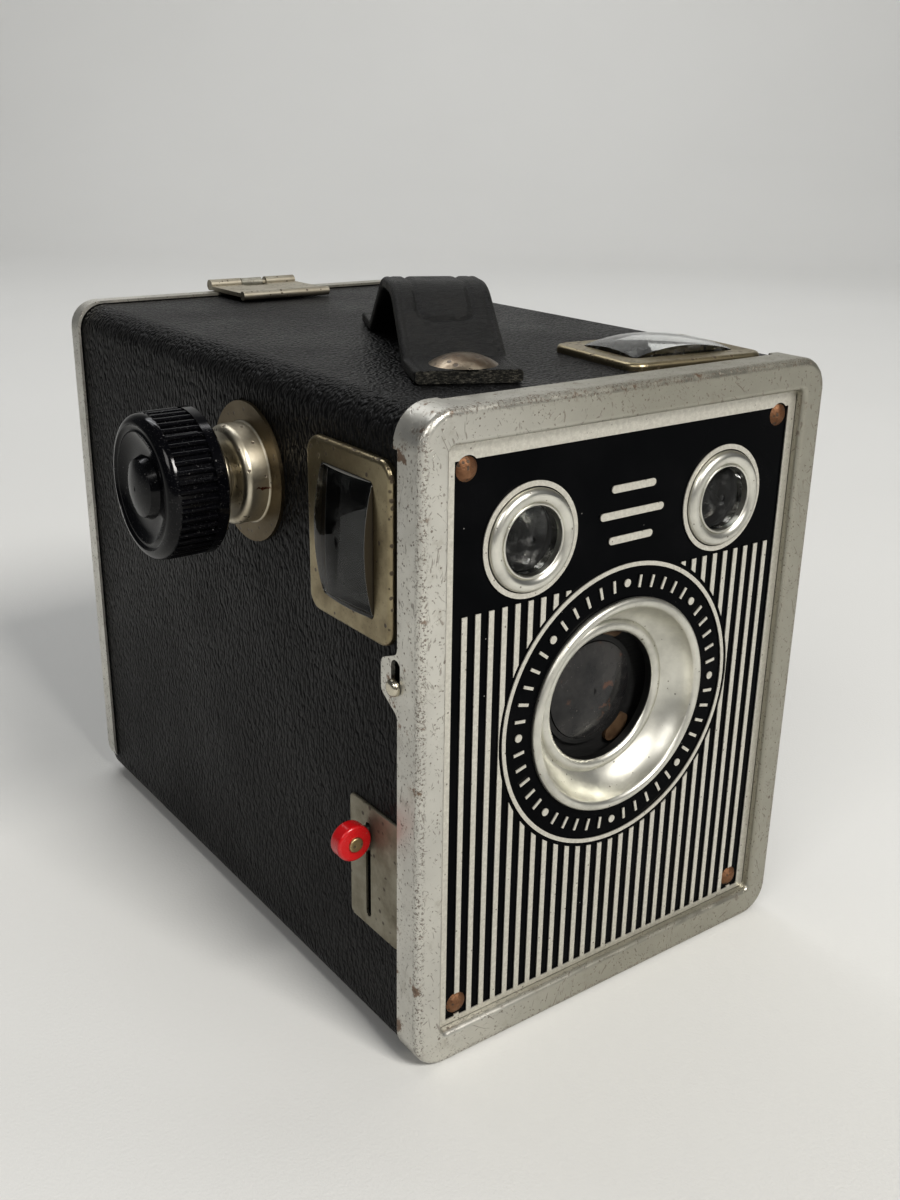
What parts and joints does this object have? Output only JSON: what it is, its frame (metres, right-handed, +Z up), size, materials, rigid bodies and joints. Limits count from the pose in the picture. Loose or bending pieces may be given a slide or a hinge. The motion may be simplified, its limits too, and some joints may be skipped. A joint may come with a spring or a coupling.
{
  "type": "box camera",
  "caption": "Upright box camera for roll film: leatherette body, ribbed metal face with dished lens ring, two reflecting finders, winding knob, side shutter lever, hinged back and carrying strap.",
  "frame": {"origin": "centre of the base, on the surface that the camera stands on", "axes": "+Z up; the lens looks along -Y; +X to the right of someone facing the front"},
  "size_m": [0.0989, 0.1227, 0.1146],
  "materials": {
    "shell_steel": "black japanned sheet steel",
    "leatherette": "fine-grained black leatherette, semi-matt",
    "front_paint": "aged silver-grey enamel, speckled",
    "face_enamel": "gloss black enamel with bright raised ribs",
    "bright_ring": "satin-bright spun aluminium",
    "nickel": "tarnished nickel plate, speckled",
    "copper_pin": "tarnished copper-coloured",
    "brass_part": "dull brass",
    "plain_steel": "plain steel",
    "roller_steel": "polished steel tube",
    "bakelite": "glossy black moulded Bakelite",
    "spool_plastic": "matt black moulded plastic",
    "red_plastic": "glossy red plastic",
    "ruby_glass": "deep red translucent celluloid",
    "clear_glass": "clear moulded glass",
    "mirror_glass": "silvered, slightly tarnished",
    "strap_leather": "black strap leather, worn"
  },
  "bodies": {
    "camera": {"body_shell": "shell_steel", "body_covering": "leatherette", "front_bezel": "front_paint", "face_plate": "face_enamel", "front_frame": "shell_steel", "face_pins": "copper_pin", "lens_ring": "bright_ring", "finder_ring_left": "bright_ring", "finder_ring_right": "bright_ring", "finder_objective_left": "clear_glass", "finder_objective_right": "clear_glass", "lens_board": "shell_steel", "taking_lens": "clear_glass", "lens_clip": "brass_part", "shutter_board": "shell_steel", "shutter_pivots": "brass_part", "lever_spring": "plain_steel", "release_plate": "nickel", "finder_frame_top": "nickel", "finder_frame_side": "nickel", "finder_glass_top": "clear_glass", "finder_glass_side": "clear_glass", "finder_housing_top": "shell_steel", "finder_housing_side": "shell_steel", "finder_mirror_top": "mirror_glass", "finder_mirror_side": "mirror_glass", "knob_collar": "nickel", "carrier_side_left": "shell_steel", "carrier_side_right": "shell_steel", "carrier_front": "shell_steel", "light_cone": "shell_steel", "film_gate": "plain_steel", "spool_pins": "plain_steel", "supply_spring": "brass_part", "hinge_body_leaf": "nickel", "hinge_pin": "nickel", "clasp_catch": "nickel", "strap": "strap_leather", "strap_rivets": "nickel"},
    "release_lever": {"release_lever": "plain_steel", "release_button": "red_plastic", "button_rivet": "brass_part"},
    "shutter_disc": {"shutter_disc": "plain_steel"},
    "time_slide": {"time_slide": "plain_steel"},
    "winding_sleeve": {"winding_sleeve": "plain_steel"},
    "winding_knob": {"winding_shaft": "plain_steel", "winding_knob": "bakelite"},
    "take_up_spool": {"take_up_spool": "spool_plastic"},
    "film_roller_top": {"film_roller_top": "roller_steel"},
    "film_roller_bottom": {"film_roller_bottom": "roller_steel"},
    "back_door": {"back_door": "front_paint", "door_covering": "leatherette", "window_ring": "nickel", "red_window": "ruby_glass", "hinge_door_leaf": "shell_steel", "clasp_pin": "nickel"},
    "clasp": {"clasp": "nickel"}
  },
  "joints": [
    {"name": "release_press", "type": "hinge", "parent": "camera", "child": "release_lever", "pos_m": [-0.012, -0.0472, 0.0297], "axis": [0, -1, 0], "range_deg": [0, 24], "stiffness_Nm_per_rad": 0.004, "springref_deg": -20.05},
    {"name": "shutter_turn", "type": "hinge", "parent": "camera", "child": "shutter_disc", "pos_m": [-0.013, -0.04875, 0.044], "axis": [0, 1, 0], "range_deg": [0, 72]},
    {"name": "time_stud_slide", "type": "slide", "parent": "camera", "child": "time_slide", "axis": [0, 0, 1], "range_m": [0, 0.003]},
    {"name": "knob_pull", "type": "slide", "parent": "camera", "child": "winding_sleeve", "axis": [-1, 0, 0], "range_m": [0, 0.006]},
    {"name": "knob_turn", "type": "hinge", "parent": "winding_sleeve", "child": "winding_knob", "pos_m": [-0.0484, -0.0125, 0.0855], "axis": [1, 0, 0], "continuous": true},
    {"name": "spool_turn", "type": "hinge", "parent": "camera", "child": "take_up_spool", "pos_m": [0, -0.0125, 0.0855], "axis": [1, 0, 0], "continuous": true},
    {"name": "roller_top_turn", "type": "hinge", "parent": "camera", "child": "film_roller_top", "pos_m": [0, 0.0505, 0.0974], "axis": [1, 0, 0], "continuous": true},
    {"name": "roller_bottom_turn", "type": "hinge", "parent": "camera", "child": "film_roller_bottom", "pos_m": [0, 0.0505, 0.0066], "axis": [1, 0, 0], "continuous": true},
    {"name": "door_open", "type": "hinge", "parent": "camera", "child": "back_door", "pos_m": [0, 0.0591, 0.0021], "axis": [-1, 0, 0], "range_deg": [0, 90]},
    {"name": "clasp_lift", "type": "hinge", "parent": "back_door", "child": "clasp", "pos_m": [0.0007, 0.0606, 0.10515], "axis": [-1, 0, 0], "range_deg": [0, 60]}
  ],
  "couplings": [
    {"joint": "shutter_turn", "follows": "release_press", "ratio": 3},
    {"joint": "spool_turn", "follows": "knob_turn", "ratio": 1}
  ]
}
